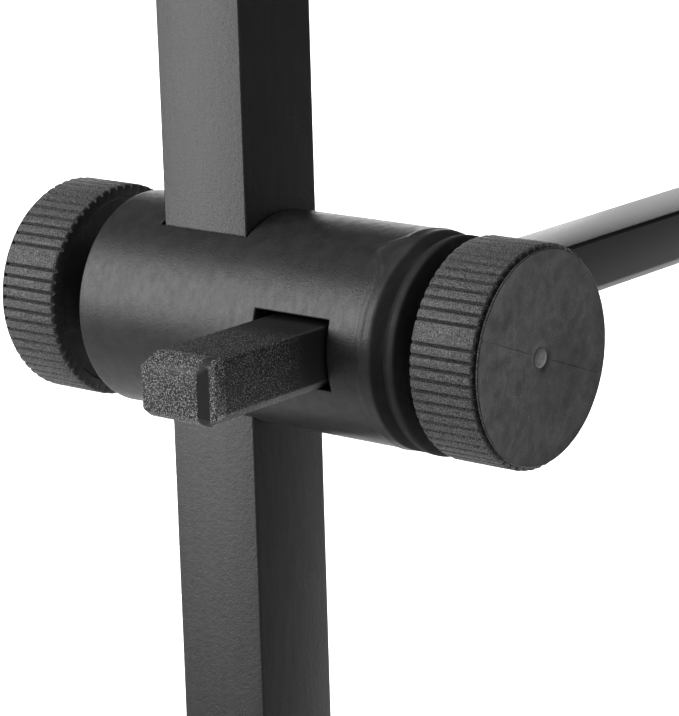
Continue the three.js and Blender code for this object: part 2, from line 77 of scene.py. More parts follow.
def make_camera():
    """A close view of the clamp from the front right, moved a little across and rolled."""
    lens, sensor = 160.0, 36  # millimetres
    distance, across, rise = 0.5953, 0.0176, -0.0097  # metres from the clamp
    azimuth, elevation, roll = (math.radians(d) for d in (39.17, 14.45, -1.66))
    back = Vector((
        math.sin(azimuth) * math.cos(elevation),
        -math.cos(azimuth) * math.cos(elevation),
        math.sin(elevation),
    ))
    right = Vector((math.cos(azimuth), math.sin(azimuth), 0))
    up = back.cross(right)
    place = CLAMP + back * distance + right * across + up * rise
    side = right * math.cos(roll) + up * math.sin(roll)
    top = up * math.cos(roll) - right * math.sin(roll)
    data = bpy.data.cameras.new("camera")
    data.lens = lens
    data.sensor_width = sensor
    data.clip_start = 0.01
    data.clip_end = 500
    camera = bpy.data.objects.new("camera", data)
    axes = Matrix((side, top, back)).transposed()
    camera.matrix_world = Matrix.Translation(place) @ axes.to_4x4()
    bpy.context.scene.collection.objects.link(camera)
    bpy.context.scene.camera = camera


def area_light(name, place, aim, size, radiance, spread=180):
    """A rectangular light whose size is (width, height) and whose radiance is given in render units."""
    width, height = size
    data = bpy.data.lights.new(name, "AREA")
    data.energy = radiance * math.pi * width * height
    data.shape = "RECTANGLE"
    data.size = width
    data.size_y = height
    data.spread = math.radians(spread)
    light = bpy.data.objects.new(name, data)
    direction = Vector(aim) - Vector(place)
    light.location = place
    light.rotation_euler = direction.to_track_quat("-Z", "Y").to_euler()
    light.visible_camera = False
    bpy.context.scene.collection.objects.link(light)


def from_clamp(azimuth, elevation, distance):
    """A point at a distance from the clamp. Azimuth 0 is straight in front, and it grows to the right."""
    turn, lift = math.radians(azimuth), math.radians(elevation)
    way = Vector((math.sin(turn) * math.cos(lift), -math.cos(turn) * math.cos(lift), math.sin(lift)))
    return CLAMP + way * distance


def make_world(strength):
    world = bpy.data.worlds.new("world")
    bpy.context.scene.world = world
    world.use_nodes = True
    background = world.node_tree.nodes["Background"]
    background.inputs["Color"].default_value = (1, 1, 1, 1)
    background.inputs["Strength"].default_value = strength


def make_ceiling(strength, softness):
    """Even light from straight above; `softness` is the angle that its source takes up."""
    data = bpy.data.lights.new("ceiling", "SUN")
    data.energy = strength
    data.angle = math.radians(softness)
    ceiling = bpy.data.objects.new("ceiling", data)
    bpy.context.scene.collection.objects.link(ceiling)


def make_lights():
    """A soft box in front on the left, a long wall light behind, a lit floor and a dim ceiling."""
    make_world(0.16)
    area_light("key", from_clamp(-40, 18, 1.3), CLAMP, (0.9, 1.15), 5.0)
    area_light("wall", from_clamp(-141, 6, 3.0), CLAMP, (2.8, 0.9), 3.1)
    floor_spot = from_clamp(-160, 0, 4.5)
    floor_spot.z = 0
    area_light("backdrop", floor_spot + Vector((0, 0, 4)), floor_spot, (6.0, 4.5), 3.4, spread=70)
    beside_arm = CLAMP + Vector((-0.04, 0.18, 0.028))  # a small card for the arm's top to mirror
    area_light("card", beside_arm, beside_arm + Vector((1, 0, -0.1)), (0.11, 0.06), 1.3)
    make_ceiling(0.8, 40)


def make_floor():
    bpy.ops.mesh.primitive_plane_add(size=60)
    floor = bpy.context.object
    floor.name = "floor"
    material, shader, _ = new_material("floor", (0.86, 0.86, 0.86), 0.9)
    floor.data.materials.append(material)


def colour_management():
    bpy.context.scene.view_settings.view_transform = "Standard"
    bpy.context.scene.view_settings.look = "None"


# ---- materials ----


def new_material(name, colour, roughness, metallic=0.0):
    """A Principled material with its mean colour and roughness, for nodes to vary."""
    material = bpy.data.materials.new(name)
    material.use_nodes = True
    tree = material.node_tree
    shader = tree.nodes["Principled BSDF"]
    shader.inputs["Base Color"].default_value = (*colour, 1)
    shader.inputs["Roughness"].default_value = roughness
    shader.inputs["Metallic"].default_value = metallic
    return material, shader, tree


def node(tree, kind, **values):
    """A new node; each value goes to the socket of that name, or else to the node's own setting."""
    made = tree.nodes.new(kind)
    for key, value in values.items():
        if key in made.inputs:
            made.inputs[key].default_value = value
        else:
            setattr(made, key, value)
    return made


def place_of(tree, stretch=(1, 1, 1)):
    """Object coordinates in millimetres, so a texture's scale is cycles per millimetre."""
    coordinates = node(tree, "ShaderNodeTexCoord")
    mapping = node(tree, "ShaderNodeMapping", Scale=tuple(s / MM for s in stretch))
    tree.links.new(coordinates.outputs["Object"], mapping.inputs["Vector"])
    return mapping.outputs["Vector"]


def grain(tree, size, detail=2.0, rough=0.5, stretch=(1, 1, 1)):
    """Noise from 0 to 1 whose features are about `size` millimetres."""
    texture = node(tree, "ShaderNodeTexNoise", Scale=1.0 / size, Detail=detail, Roughness=rough)
    tree.links.new(place_of(tree, stretch), texture.inputs["Vector"])
    return texture.outputs["Fac"]


def ramp(tree, source, low, high, bottom=0.0, top=1.0):
    """Maps low..high smoothly to bottom..top, and holds the ends."""
    mapped = node(tree, "ShaderNodeMapRange")
    mapped.interpolation_type = "SMOOTHSTEP"
    mapped.inputs["From Min"].default_value = low
    mapped.inputs["From Max"].default_value = high
    mapped.inputs["To Min"].default_value = bottom
    mapped.inputs["To Max"].default_value = top
    tree.links.new(source, mapped.inputs["Value"])
    return mapped.outputs["Result"]


def product(tree, a, b):
    made = node(tree, "ShaderNodeMath", operation="MULTIPLY")
    tree.links.new(a, made.inputs[0])
    tree.links.new(b, made.inputs[1])
    return made.outputs["Value"]


def total(tree, a, b):
    """The sum of two values, held between 0 and 1."""
    made = node(tree, "ShaderNodeMath", operation="ADD", use_clamp=True)
    tree.links.new(a, made.inputs[0])
    tree.links.new(b, made.inputs[1])
    return made.outputs["Value"]


def place_along(tree, axis):
    """One object coordinate in millimetres."""
    parts = node(tree, "ShaderNodeSeparateXYZ")
    tree.links.new(place_of(tree), parts.inputs["Vector"])
    return parts.outputs[axis]


def tint(tree, shader, source, dark, light):
    """Base colour from dark to light as the source goes from 0 to 1."""
    factor, first, second, result = 0, 6, 7, 2  # the Mix node's colour sockets
    mix = node(tree, "ShaderNodeMix", data_type="RGBA")
    mix.inputs[first].default_value = (*dark, 1)
    mix.inputs[second].default_value = (*light, 1)
    tree.links.new(source, mix.inputs[factor])
    tree.links.new(mix.outputs[result], shader.inputs["Base Color"])


def vary_roughness(tree, shader, size, detail, low, high):
    """Roughness that drifts between two values over patches of about `size` millimetres."""
    patches = ramp(tree, grain(tree, size, detail), 0.3, 0.7, low, high)
    tree.links.new(patches, shader.inputs["Roughness"])


def bump(tree, shader, height, depth_mm, after=None):
    """Relief of a depth in millimetres, on top of the relief made before it."""
    made = node(tree, "ShaderNodeBump", Strength=1.0, Distance=depth_mm * MM)
    tree.links.new(height, made.inputs["Height"])
    if after is not None:
        tree.links.new(after.outputs["Normal"], made.inputs["Normal"])
    tree.links.new(made.outputs["Normal"], shader.inputs["Normal"])
    return made


def powder_coat():
    """Baked powder paint: a fine orange peel with faint drawing lines along the tube."""
    material, shader, tree = new_material("powder_coat", (0.018, 0.018, 0.0185), 0.36)
    clouds = ramp(tree, grain(tree, 1.6, 4.0, 0.6, (1, 1, 0.15)), 0.3, 0.7)
    tint(tree, shader, clouds, (0.014, 0.014, 0.0145), (0.021, 0.021, 0.0215))
    peel = bump(tree, shader, grain(tree, 0.8, 2.0), 0.04)
    bump(tree, shader, grain(tree, 0.3, 2.0), 0.035, after=peel)
    vary_roughness(tree, shader, 0.4, 3.0, 0.3, 0.39)
    shader.inputs["Specular IOR Level"].default_value = 0.44
    return material


def satin_paint():
    """Sprayed paint on turned steel: satin with fine rings and rub marks, dull beside the weld, where its
    colour is darkened as painted shade.
    """
    material, shader, tree = new_material("satin_paint", (0.02, 0.02, 0.021), 0.36)
    along = place_along(tree, "X")
    end = BODY_HI.x / MM
    # Painted shade: the base colour darkens in the trough beside the weld, and lightens partly again on the
    # lip as a painted highlight.
    unshaded_before_trough = ramp(tree, along, end - 6.0, end - 4.4, 1.0, 0.0)
    lip = ramp(tree, along, end - 2.2, end - 1.2, 0.0, 0.38)
    unshaded_share = total(tree, unshaded_before_trough, lip)
    clouds = ramp(tree, grain(tree, 3.0, 5.0, 0.6), 0.3, 0.7, 0.55, 1.0)
    # Random clouds times the painted shade of the trough and the painted highlight of the lip.
    tint(tree, shader, product(tree, clouds, unshaded_share), (0.005, 0.005, 0.005), (0.03, 0.03, 0.0305))
    rings = bump(tree, shader, grain(tree, 0.9, 3.0, 0.6, (1, 0.12, 0.12)), 0.012)
    peel = bump(tree, shader, grain(tree, 1.7, 4.0, 0.6, (0.5, 1, 1)), 0.03, after=rings)
    bump(tree, shader, grain(tree, 0.34, 4.0, 0.6), 0.05, after=peel)
    rubbed = ramp(tree, grain(tree, 1.3, 5.0, 0.7, (1, 0.5, 0.5)), 0.3, 0.75, 0.33, 0.46)
    dull = ramp(tree, unshaded_share, 0.0, 0.9, 0.6, 0.0)
    tree.links.new(total(tree, rubbed, dull), shader.inputs["Roughness"])
    return material


def glints_of(tree, size, low, high):
    """A mask of scattered points about `size` millimetres apart."""
    cells = node(tree, "ShaderNodeTexVoronoi", Scale=1 / size, feature="F1")
    tree.links.new(place_of(tree), cells.inputs["Vector"])
    points = ramp(tree, cells.outputs["Distance"], low, high, 1.0, 0.0)
    return product(tree, points, ramp(tree, grain(tree, size * 1.3, 2.0), 0.34, 0.56))


def arm_coat():
    """Texture paint on the arm: grain lumps, and painted glints as bright specks in the base colour,
    towards the front end that die out near the clamp.
    """
    material, shader, tree = new_material("arm_coat", (0.012, 0.012, 0.0125), 0.42)
    along = place_along(tree, "Y")
    clamp = CLAMP.y / MM
    fade = ramp(tree, along, clamp - 35, clamp - 24, 1.0, 0.0)
    glints = product(tree, glints_of(tree, 0.26, 0.1, 0.46), fade)
    # Painted glints: the bright specks in the base colour stand in for highlights on the grains.
    tint(tree, shader, glints, (0.01, 0.01, 0.0105), (0.75, 0.75, 0.755))
    lumps = bump(tree, shader, glints, 0.2)
    bump(tree, shader, grain(tree, 0.3, 3.0), 0.008, after=lumps)
    dull = ramp(tree, along, clamp - 24, clamp + 24, 0.4, 0.24)
    tree.links.new(dull, shader.inputs["Roughness"])
    return material


def cap_coat():
    """The coarse grained finish of the arm's end, which its right bevel has lost, with painted glints as
    bright specks in the base colour of the grained faces.
    """
    material, shader, tree = new_material("arm_cap_plastic", (0.03, 0.03, 0.031), 0.45)
    across = place_along(tree, "X")
    bevel_start, bevel_end = ARM.x / MM + 4.75, ARM.x / MM + 6.55
    before = ramp(tree, across, bevel_start, bevel_start + 0.1, 1.0, 0.0)
    after = ramp(tree, across, bevel_end, bevel_end + 0.1)
    rough = total(tree, before, after)
    glints = product(tree, glints_of(tree, 0.27, 0.14, 0.56), rough)
    # Painted glints: white specks in the base colour stand in for highlights on the grains.
    tint(tree, shader, glints, (0.022, 0.022, 0.0225), (1.0, 1.0, 1.0))
    lumps = bump(tree, shader, glints, 0.22)
    bump(tree, shader, grain(tree, 0.17, 3.0), 0.03, after=lumps)
    vary_roughness(tree, shader, 0.3, 3.0, 0.3, 0.5)
    return material


def knob_plastic():
    """Moulded glass-filled nylon: dense pale specks in a dry dark grey."""
    material, shader, tree = new_material("knob_plastic", (0.045, 0.045, 0.046), 0.55)
    fine = grain(tree, 0.24, 3.0, 0.65)
    tint(tree, shader, ramp(tree, fine, 0.4, 0.66), (0.018, 0.018, 0.0185), (0.205, 0.205, 0.206))
    first = bump(tree, shader, fine, 0.11)
    bump(tree, shader, grain(tree, 1.1, 3.0), 0.02, after=first)
    vary_roughness(tree, shader, 0.9, 4.0, 0.44, 0.62)
    return material


def face_plastic():
    """The knob's face, smoother than the ribs, with a few dry patches."""
    material, shader, tree = new_material("face_plastic", (0.025, 0.025, 0.0255), 0.5)
    patches = ramp(tree, grain(tree, 7.0, 4.0, 0.6), 0.35, 0.65)
    tint(tree, shader, patches, (0.016, 0.016, 0.0165), (0.025, 0.025, 0.0255))
    pits = bump(tree, shader, ramp(tree, grain(tree, 0.3, 3.0), 0.55, 0.8), 0.06)
    bump(tree, shader, grain(tree, 4.0, 3.0), 0.12, after=pits)
    vary_roughness(tree, shader, 2.0, 4.0, 0.4, 0.56)
    return material


def gate_plastic():
    """The paler, smoother plug left where the knob was filled from the middle of its face."""
    material, shader, tree = new_material("gate_plastic", (0.11, 0.11, 0.11), 0.45)
    patches = ramp(tree, grain(tree, 0.4, 3.0), 0.3, 0.7)
    tint(tree, shader, patches, (0.16, 0.16, 0.16), (0.25, 0.25, 0.251))
    bump(tree, shader, grain(tree, 0.2, 3.0), 0.04)
    return material


def plain_plastic():
    """Plain moulded plastic of the end caps and page clips."""
    material, shader, tree = new_material("plain_plastic", (0.03, 0.03, 0.03), 0.5)
    bump(tree, shader, grain(tree, 0.35, 3.0), 0.03)
    patches = ramp(tree, grain(tree, 4.0, 3.0), 0.3, 0.7)
    tint(tree, shader, patches, (0.026, 0.026, 0.026), (0.034, 0.034, 0.034))
    vary_roughness(tree, shader, 1.5, 3.0, 0.44, 0.58)
    return material


def rubber():
    """Soft rubber with a pale bloom."""
    material, shader, tree = new_material("rubber", (0.02, 0.02, 0.02), 0.8)
    bump(tree, shader, grain(tree, 0.6, 4.0), 0.05)
    bloom = ramp(tree, grain(tree, 3.0, 4.0), 0.4, 0.7)
    tint(tree, shader, bloom, (0.018, 0.018, 0.018), (0.032, 0.031, 0.03))
    vary_roughness(tree, shader, 1.0, 3.0, 0.72, 0.9)
    return material


def nylon():
    """Natural nylon that lets a little light in."""
    material, shader, tree = new_material("nylon", (0.7, 0.67, 0.58), 0.45)
    bump(tree, shader, grain(tree, 0.5, 3.0), 0.02)
    patches = ramp(tree, grain(tree, 2.0, 3.0), 0.3, 0.7)
    tint(tree, shader, patches, (0.64, 0.61, 0.52), (0.74, 0.71, 0.63))
    shader.inputs["Subsurface Weight"].default_value = 0.1
    return material


def zinc_steel():
    """Machined and zinc-plated: fine turning marks round the x axis."""
    material, shader, tree = new_material("zinc_steel", (0.55, 0.56, 0.58), 0.3, 1.0)
    bump(tree, shader, grain(tree, 0.12, 2.0, 0.5, (1, 0.05, 0.05)), 0.01)
    vary_roughness(tree, shader, 1.2, 4.0, 0.24, 0.42)
    patches = ramp(tree, grain(tree, 3.0, 4.0), 0.3, 0.7)
    tint(tree, shader, patches, (0.48, 0.49, 0.5), (0.6, 0.61, 0.62))
    return material


def black_steel():
    """Black oxide fasteners."""
    material, shader, tree = new_material("black_steel", (0.03, 0.03, 0.032), 0.4, 0.6)
    bump(tree, shader, grain(tree, 0.3, 3.0), 0.01)
    vary_roughness(tree, shader, 0.9, 4.0, 0.34, 0.5)
    patches = ramp(tree, grain(tree, 1.0, 4.0), 0.35, 0.7)
    tint(tree, shader, patches, (0.024, 0.024, 0.026), (0.05, 0.05, 0.052))
    return material


# ---- mesh helpers ----


def piece(name, vertices, faces, material, body, replaces, smooth=32):
    """A mesh that rides on a body and stands for CAD nodes; edges under `smooth` degrees look round."""
    mesh = bpy.data.meshes.new(name)
    mesh.from_pydata([tuple(v) for v in vertices], [], faces)
    work = bmesh.new()
    work.from_mesh(mesh)
    bmesh.ops.remove_doubles(work, verts=work.verts, dist=1e-7)
    bmesh.ops.recalc_face_normals(work, faces=work.faces)
    work.to_mesh(mesh)
    work.free()
    mesh.shade_smooth()
    mesh.set_sharp_from_angle(angle=math.radians(smooth))
    made = bpy.data.objects.new(name, mesh)
    bpy.context.scene.collection.objects.link(made)
    mesh.materials.append(material)
    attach(made, body)
    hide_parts(*replaces)
    return made


def bridge(faces, first, second, count):
    """Quads between two closed loops of `count` vertices that start at these indices."""
    for i in range(count):
        j = (i + 1) % count
        faces.append((first + i, first + j, second + j, second + i))


def stack(loops, closed=False):
    """Vertices and faces of a skin through equal closed loops, ended by caps or joined round."""
    count = len(loops[0])
    vertices = [v for loop in loops for v in loop]
    faces = []
    for k in range(len(loops) - 1):
        bridge(faces, k * count, (k + 1) * count, count)
    if closed:
        bridge(faces, (len(loops) - 1) * count, 0, count)
    else:
        faces.append(tuple(range(count))[::-1])
        faces.append(tuple(range((len(loops) - 1) * count, len(loops) * count)))
    return vertices, faces


def round_rect(width, height, radius):
    """A closed outline of (u, v) points with rounded corners."""
    steps = 4
    points = []
    for k, (sx, sy) in enumerate(((1, 1), (-1, 1), (-1, -1), (1, -1))):
        for i in range(steps + 1):
            angle = math.pi / 2 * (k + i / steps)
            points.append((
                sx * (width / 2 - radius) + radius * math.cos(angle),
                sy * (height / 2 - radius) + radius * math.sin(angle),
            ))
    return points


def rounded(corners, fillet):
    """Cuts each corner of a closed outline with a short quadratic curve."""
    steps = 3
    points = []
    for i, here in enumerate(corners):
        before, after = Vector(corners[i - 1]), Vector(corners[(i + 1) % len(corners)])
        here = Vector(here)
        start = here + (before - here).normalized() * min(fillet, (before - here).length * 0.45)
        end = here + (after - here).normalized() * min(fillet, (after - here).length * 0.45)
        for k in range(steps + 1):
            t = k / steps
            points.append(tuple(start * (1 - t) ** 2 + here * 2 * t * (1 - t) + end * t ** 2))
    return points


# ---- clamp body ----

BODY_RADIUS = 20.0
BORE_RADIUS = 16.5
POST_HOLE = 10.4  # half the width of the post's square hole
ARM_HOLE = (8.4, 6.4)  # half the width and half the height of the arm's hole
RIM = 0.35  # rounding of the hole edges and of the left end
END_RIM = (0.5, 0.75)  # rounding of the right end: along the body and inwards
RIM_STEPS = 4
GRID_STEP = 0.55  # spacing of the grid along the body
TURN_STEP = 1.5  # spacing of the grid round the body, in degrees

# Distances of the right end's features from its end face, and their heights.
WELD_LINE, WELD_SAG, WELD_WIDTH = 7.2, 3.7, 0.42
TROUGH_START, TROUGH_FLOOR, TROUGH_DEPTH = 0.9, 2.7, 1.05  # the start is measured from the weld line
LIP, LIP_RISE = 1.3, 0.6
FLARE, FLARE_REACH = 0.6, 14  # the left end grows fuller below over its first millimetres

# Each hole: its first and last key along the body, its first and last key round it, and the axis
# it runs along.
HOLES = [(1, 2, 2, 3, 2), (1, 2, 6, 7, 2), (3, 4, 4, 5, 1), (3, 4, 0, 1, 1)]

# Small marks in the paint: place along the body, angle, half length along, half width round, depth.
FLAWS = [
    (-21.1, 146.5, 0.45, 0.35, 0.10),
    (3.1, 177.5, 0.22, 0.75, 0.12),
    (10.0, 172.2, 0.16, 0.80, 0.08),
    (16.5, 140.0, 0.30, 0.35, -0.08),
    (17.9, 144.2, 0.32, 0.50, 0.09),
    (20.5, 150.0, 0.50, 1.60, -0.05),
    (20.7, 156.5, 0.45, 1.20, -0.05),
    (31.0, 214.0, 0.40, 0.30, 0.08),
]


def smooth_step(low, high, value):
    t = min(max((value - low) / (high - low), 0.0), 1.0)
    return t * t * (3 - 2 * t)


def bell(value, width):
    return math.exp(-(value / width) ** 2)


def away(degrees, centre):
    """The turn from one angle to another, between -180 and 180 degrees."""
    return (degrees - centre + 180) % 360 - 180


def flaw_depth(x, degrees):
    """Depth of the paint marks, and of one thin scratch that slants round the body."""
    depth = 0.0
    for place, angle, along, across, deep in FLAWS:
        arc = math.radians(degrees - angle) * BODY_RADIUS
        reach = ((x - place) / along) ** 2 + (arc / across) ** 2
        if reach < 6:
            depth += deep * math.exp(-reach)
    scratch_start, scratch_end, slant = 118, 155, 0.08
    scratch_x = 9.3 + (degrees - 121) * slant
    if scratch_start < degrees < scratch_end:
        depth += 0.025 * bell(x - scratch_x, 0.16)
    return depth


def body_radius(x, degrees, left, right):
    """Radius of the painted body: a weld line, a trough and a lip at the right end, a fuller left end."""
    theta = math.radians(degrees)
    wobble = noise.noise(Vector((math.cos(theta) * 2.2, math.sin(theta) * 2.2, 3.1)))
    sag = WELD_SAG * bell(away(degrees, 117), 9.0)
    weld = right - WELD_LINE - sag + 0.5 * wobble
    floor = right - TROUGH_FLOOR + 0.25 * wobble
    lip = right - LIP
    below = bell(away(degrees, 275), 42)  # the trough dies out under the body
    seam = 0.2 + 0.14 * bell(away(degrees, 112), 24)
    radius = BODY_RADIUS + seam * bell(x - weld, WELD_WIDTH)
    fall = min(max((x - weld - TROUGH_START) / (floor - weld - TROUGH_START), 0), 1)
    radius -= TROUGH_DEPTH * (1 - below) * fall ** 2
    radius += LIP_RISE * (1 - below) * smooth_step(floor - 0.1, lip, x)
    radius += 0.4 * below * smooth_step(right - 6, lip, x)
    radius += FLARE * bell(away(degrees, 262), 45) * smooth_step(left + FLARE_REACH, left, x)
    radius += 0.02 * noise.noise(Vector((x * 0.12, math.cos(theta) * 1.4, math.sin(theta) * 1.4)))
    return radius - flaw_depth(x, degrees)


def spaced(keys, step):
    """Values through the keys, with about `step` between them, and each key's place in the list."""
    values, places = [keys[0]], [0]
    for start, end in zip(keys, keys[1:]):
        count = max(1, math.ceil((end - start) / step))
        values += [start + (end - start) * k / count for k in range(1, count + 1)]
        places.append(len(values) - 1)
    return values, places


def refit(places, keys):
    """As many values between each pair of keys as the places say, for other keys."""
    moved = []
    for k in range(len(keys) - 1):
        count = places[k + 1] - places[k]
        moved += [keys[k] + (keys[k + 1] - keys[k]) * i / count for i in range(count)]
    return moved + [keys[-1]]


def turn_keys(post_half, arm_half, radius):
    """Angles of the edges of the four holes on a cylinder, the first edge again at the end."""
    post, arm = (math.degrees(math.asin(half / radius)) for half in (post_half, arm_half))
    return [-arm, arm, 90 - post, 90 + post, 180 - arm, 180 + arm, 270 - post, 270 + post, 360 - arm]


def on_cylinder(x, degrees, radius):
    theta = math.radians(degrees)
    return Vector((x, radius * math.cos(theta), radius * math.sin(theta)))


class BodySkin:
    """The clamp body's mesh: an outer and an inner grid, joined through the holes and at both ends."""

    def __init__(self, left, right, arm):
        half_x, half_z = ARM_HOLE
        self.x_keys = [left + RIM, -POST_HOLE - RIM, POST_HOLE + RIM, arm - half_x - RIM,
                       arm + half_x + RIM, right - END_RIM[0]]
        bore_keys = [left, -POST_HOLE, POST_HOLE, arm - half_x, arm + half_x, right]
        xs, self.x_places = spaced(self.x_keys, GRID_STEP)
        turns, self.turn_places = spaced(turn_keys(POST_HOLE + RIM, half_z + RIM, BODY_RADIUS), TURN_STEP)
        bore_xs = refit(self.x_places, bore_keys)
        bore_turns = refit(self.turn_places, turn_keys(POST_HOLE, half_z, BORE_RADIUS))
        self.rows = len(xs)
        self.columns = len(turns) - 1  # the last angle is the first again
        self.vertices = [on_cylinder(x, t, body_radius(x, t, left, right)) for x in xs for t in turns[:-1]]
        self.bore = len(self.vertices)  # index of the inner grid's first vertex
        self.vertices += [on_cylinder(x, t, BORE_RADIUS) for x in bore_xs for t in bore_turns[:-1]]
        self.faces = []

    def index(self, row, column, start):
        return start + row * self.columns + column % self.columns

    def in_hole(self, row, column):
        for x0, x1, t0, t1, _ in HOLES:
            along = self.x_places[x0] <= row < self.x_places[x1]
            if along and self.turn_places[t0] <= column < self.turn_places[t1]:
                return True
        return False

    def add_grids(self):
        for row in range(self.rows - 1):
            for column in range(self.columns):
                if self.in_hole(row, column):
                    continue
                for start in (0, self.bore):
                    self.faces.append((
                        self.index(row, column, start), self.index(row + 1, column, start),
                        self.index(row + 1, column + 1, start), self.index(row, column + 1, start),
                    ))

    def add_band(self, first, second):
        """Quads between two closed lists of vertex indices."""
        for k in range(len(first)):
            m = (k + 1) % len(first)
            self.faces.append((first[k], first[m], second[m], second[k]))

    def join(self, outer, inner, between):
        """Joins an outer and an inner loop of indices through loops of new points."""
        before = outer
        for loop in between:
            start = len(self.vertices)
            self.vertices.extend(loop)
            here = list(range(start, start + len(loop)))
            self.add_band(before, here)
            before = here
        self.add_band(before, inner)

    def perimeter(self, hole, start):
        """Indices round a hole's edge in one of the grids."""
        x0, x1, t0, t1, _ = hole
        a, b = self.x_places[x0], self.x_places[x1]
        c, d = self.turn_places[t0], self.turn_places[t1]
        loop = [self.index(i, c, start) for i in range(a, b)]
        loop += [self.index(b, j, start) for j in range(c, d)]
        loop += [self.index(i, d, start) for i in range(b, a, -1)]
        loop += [self.index(a, j, start) for j in range(d, c, -1)]
        return loop

    def cut_hole(self, hole):
        """Rounds a hole's outer edge and takes its walls in to the bore."""
        x0, x1, _, _, deep_axis = hole
        outer = self.perimeter(hole, 0)
        centre_x = (self.x_keys[x0] + self.x_keys[x1]) / 2
        half_long = (self.x_keys[x1] - self.x_keys[x0]) / 2 - RIM
        half_short = POST_HOLE if deep_axis == 2 else ARM_HOLE[1]
        flat_axis = 3 - deep_axis
        between = []
        for k in range(1, RIM_STEPS + 1):
            phi = math.pi / 2 * k / RIM_STEPS
            offset, depth = RIM * (1 - math.sin(phi)), RIM * (1 - math.cos(phi))
            loop = []
            for n in outer:
                v = self.vertices[n].copy()
                v.x = centre_x + (v.x - centre_x) * (half_long + offset) / (half_long + RIM)
                v[flat_axis] *= (half_short + offset) / (half_short + RIM)
                way = math.copysign(1, v[deep_axis])
                v[deep_axis] = way * (math.sqrt(BODY_RADIUS ** 2 - v[flat_axis] ** 2) - depth)
                loop.append(v)
            between.append(loop)
        self.join(outer, self.perimeter(hole, self.bore), between)

    def close_end(self, row, profile):
        """Rounds an end of the body through (x, drop in radius) pairs and takes it in to the bore."""
        outer = [self.index(row, j, 0) for j in range(self.columns)]
        inner = [self.index(row, j, self.bore) for j in range(self.columns)]
        between = []
        for x, drop in profile:
            loop = []
            for n in outer:
                v = self.vertices[n]
                radius = math.hypot(v.y, v.z)
                scale = (radius - drop) / radius
                loop.append(Vector((x, v.y * scale, v.z * scale)))
            between.append(loop)
        self.join(outer, inner, between)


def make_clamp_body(material):
    left = (BODY_LO.x - CLAMP.x) / MM
    right = (BODY_HI.x - CLAMP.x) / MM
    skin = BodySkin(left, right, (ARM.x - CLAMP.x) / MM)
    skin.add_grids()
    for hole in HOLES:
        skin.cut_hole(hole)
    reach, drop = END_RIM
    arc = (0.4, 0.8, 1.2, math.pi / 2)
    skin.close_end(0, [(left + RIM * (1 - math.sin(a)), RIM * (1 - math.cos(a))) for a in arc])
    right_rim = [(right - reach + reach * math.sin(a), drop * (1 - math.cos(a))) for a in arc]
    skin.close_end(skin.rows - 1, right_rim)
    points = [CLAMP + v * MM for v in skin.vertices]
    piece("clamp_body", points, skin.faces, material, "clamp", ["clamp_housing"], smooth=40)


# ---- ribbed knobs ----

RIB_STEPS = 12  # points along one rib
RIB_SCALE = 20.3  # knob radius at which the groove and the face's dish have their full depth
KNOB_HUB = 4.4  # bore radius at the knob's back
HUB_DEPTH = 9.6  # the bore's blind end, which closes over the stud
BLANK_HALF = 0.75  # half width, in ribs, of the plain lands where the mould's halves met
FACE_EDGE = 0.8  # distance of the face's rim inside the ribs
PLUG = 1.78  # radius of the filling plug in the middle of the face


def groove(distance, depth):
    """Depth of a groove at a distance from its middle, both in millimetres."""
    return depth * (1 - smooth_step(0.10, 0.36, abs(distance)))


def knob_back(radius, face):
    """(radius, distance from the back, share of the rib groove) from the bore to the ribs' front."""
    return [
        (KNOB_HUB, 1.0, 0), (KNOB_HUB + 0.3, 0.0, 0), (8.0, 0.0, 0), (8.4, 0.35, 0), (8.6, 1.6, 0),
        (radius - 3.0, 1.6, 0), (radius - 2.6, 0.4, 0), (radius - 2.3, 0.0, 0), (radius - 1.0, 0.0, 0.1),
        (radius - 0.5, 0.12, 0.5), (radius - 0.2, 0.4, 0.9), (radius, 0.9, 1), (radius, face - 1.3, 1),
        (radius - 0.1, face - 1.08, 1), (radius - 0.5, face - 0.95, 0.95), (radius - 1.1, face - 0.84, 0.5),
    ]


def knob_front(radius, face):
    """The same from the ribs' front over the rim and the dished face to the plug in its middle."""
    rim, dish = radius - FACE_EDGE, 0.63 * radius
    dish_edge = face - 0.14
    depth = 0.4 * (radius / RIB_SCALE)
    rows = [
        (radius - 1.5, face - 0.76, 0), (radius - 1.5, face - 0.54, 0), (rim - 0.3, face - 0.44, 0),
        (rim - 0.05, face - 0.38, 0), (rim, face - 0.26, 0), (rim - 0.07, face - 0.09, 0),
        (rim - 0.22, face, 0), (rim - 0.7, face - 0.06, 0), (dish + 1.6, face - 0.1, 0),
        (dish + 0.5, face - 0.12, 0),
    ]
    for k in range(8):
        r = dish * (1 - k / 8)
        if r > 2.4:
            rows.append((r, dish_edge - depth * (1 - (r / dish) ** 2), 0))
    floor = dish_edge - depth
    plug = [(2.2, 0.0), (2.0, -0.1), (1.8, -0.08), (1.6, 0.12), (0.9, 0.24), (0.4, 0.22), (0.02, 0.2)]
    return rows + [(r, floor + rise, 0) for r, rise in plug]


def rib_cut(i, radius, ribs, blanks):
    """How far the ribs lie below the knob's radius at a step round it, which is nothing on the blanks."""
    pitch = TAU * radius / ribs
    degrees = math.degrees(TAU * i / (ribs * RIB_STEPS))
    for blank in blanks:
        if abs(math.radians(away(degrees, blank)) * radius) < BLANK_HALF * pitch:
            return 0.0
    offset = ((i / RIB_STEPS) % 1.0 - 0.5) * pitch  # from the groove, half a pitch from each rib's middle
    crown = 0.10 * (1 - bell(pitch / 2 - abs(offset), 0.62))
    return groove(offset, 0.85 * (radius / RIB_SCALE)) + crown


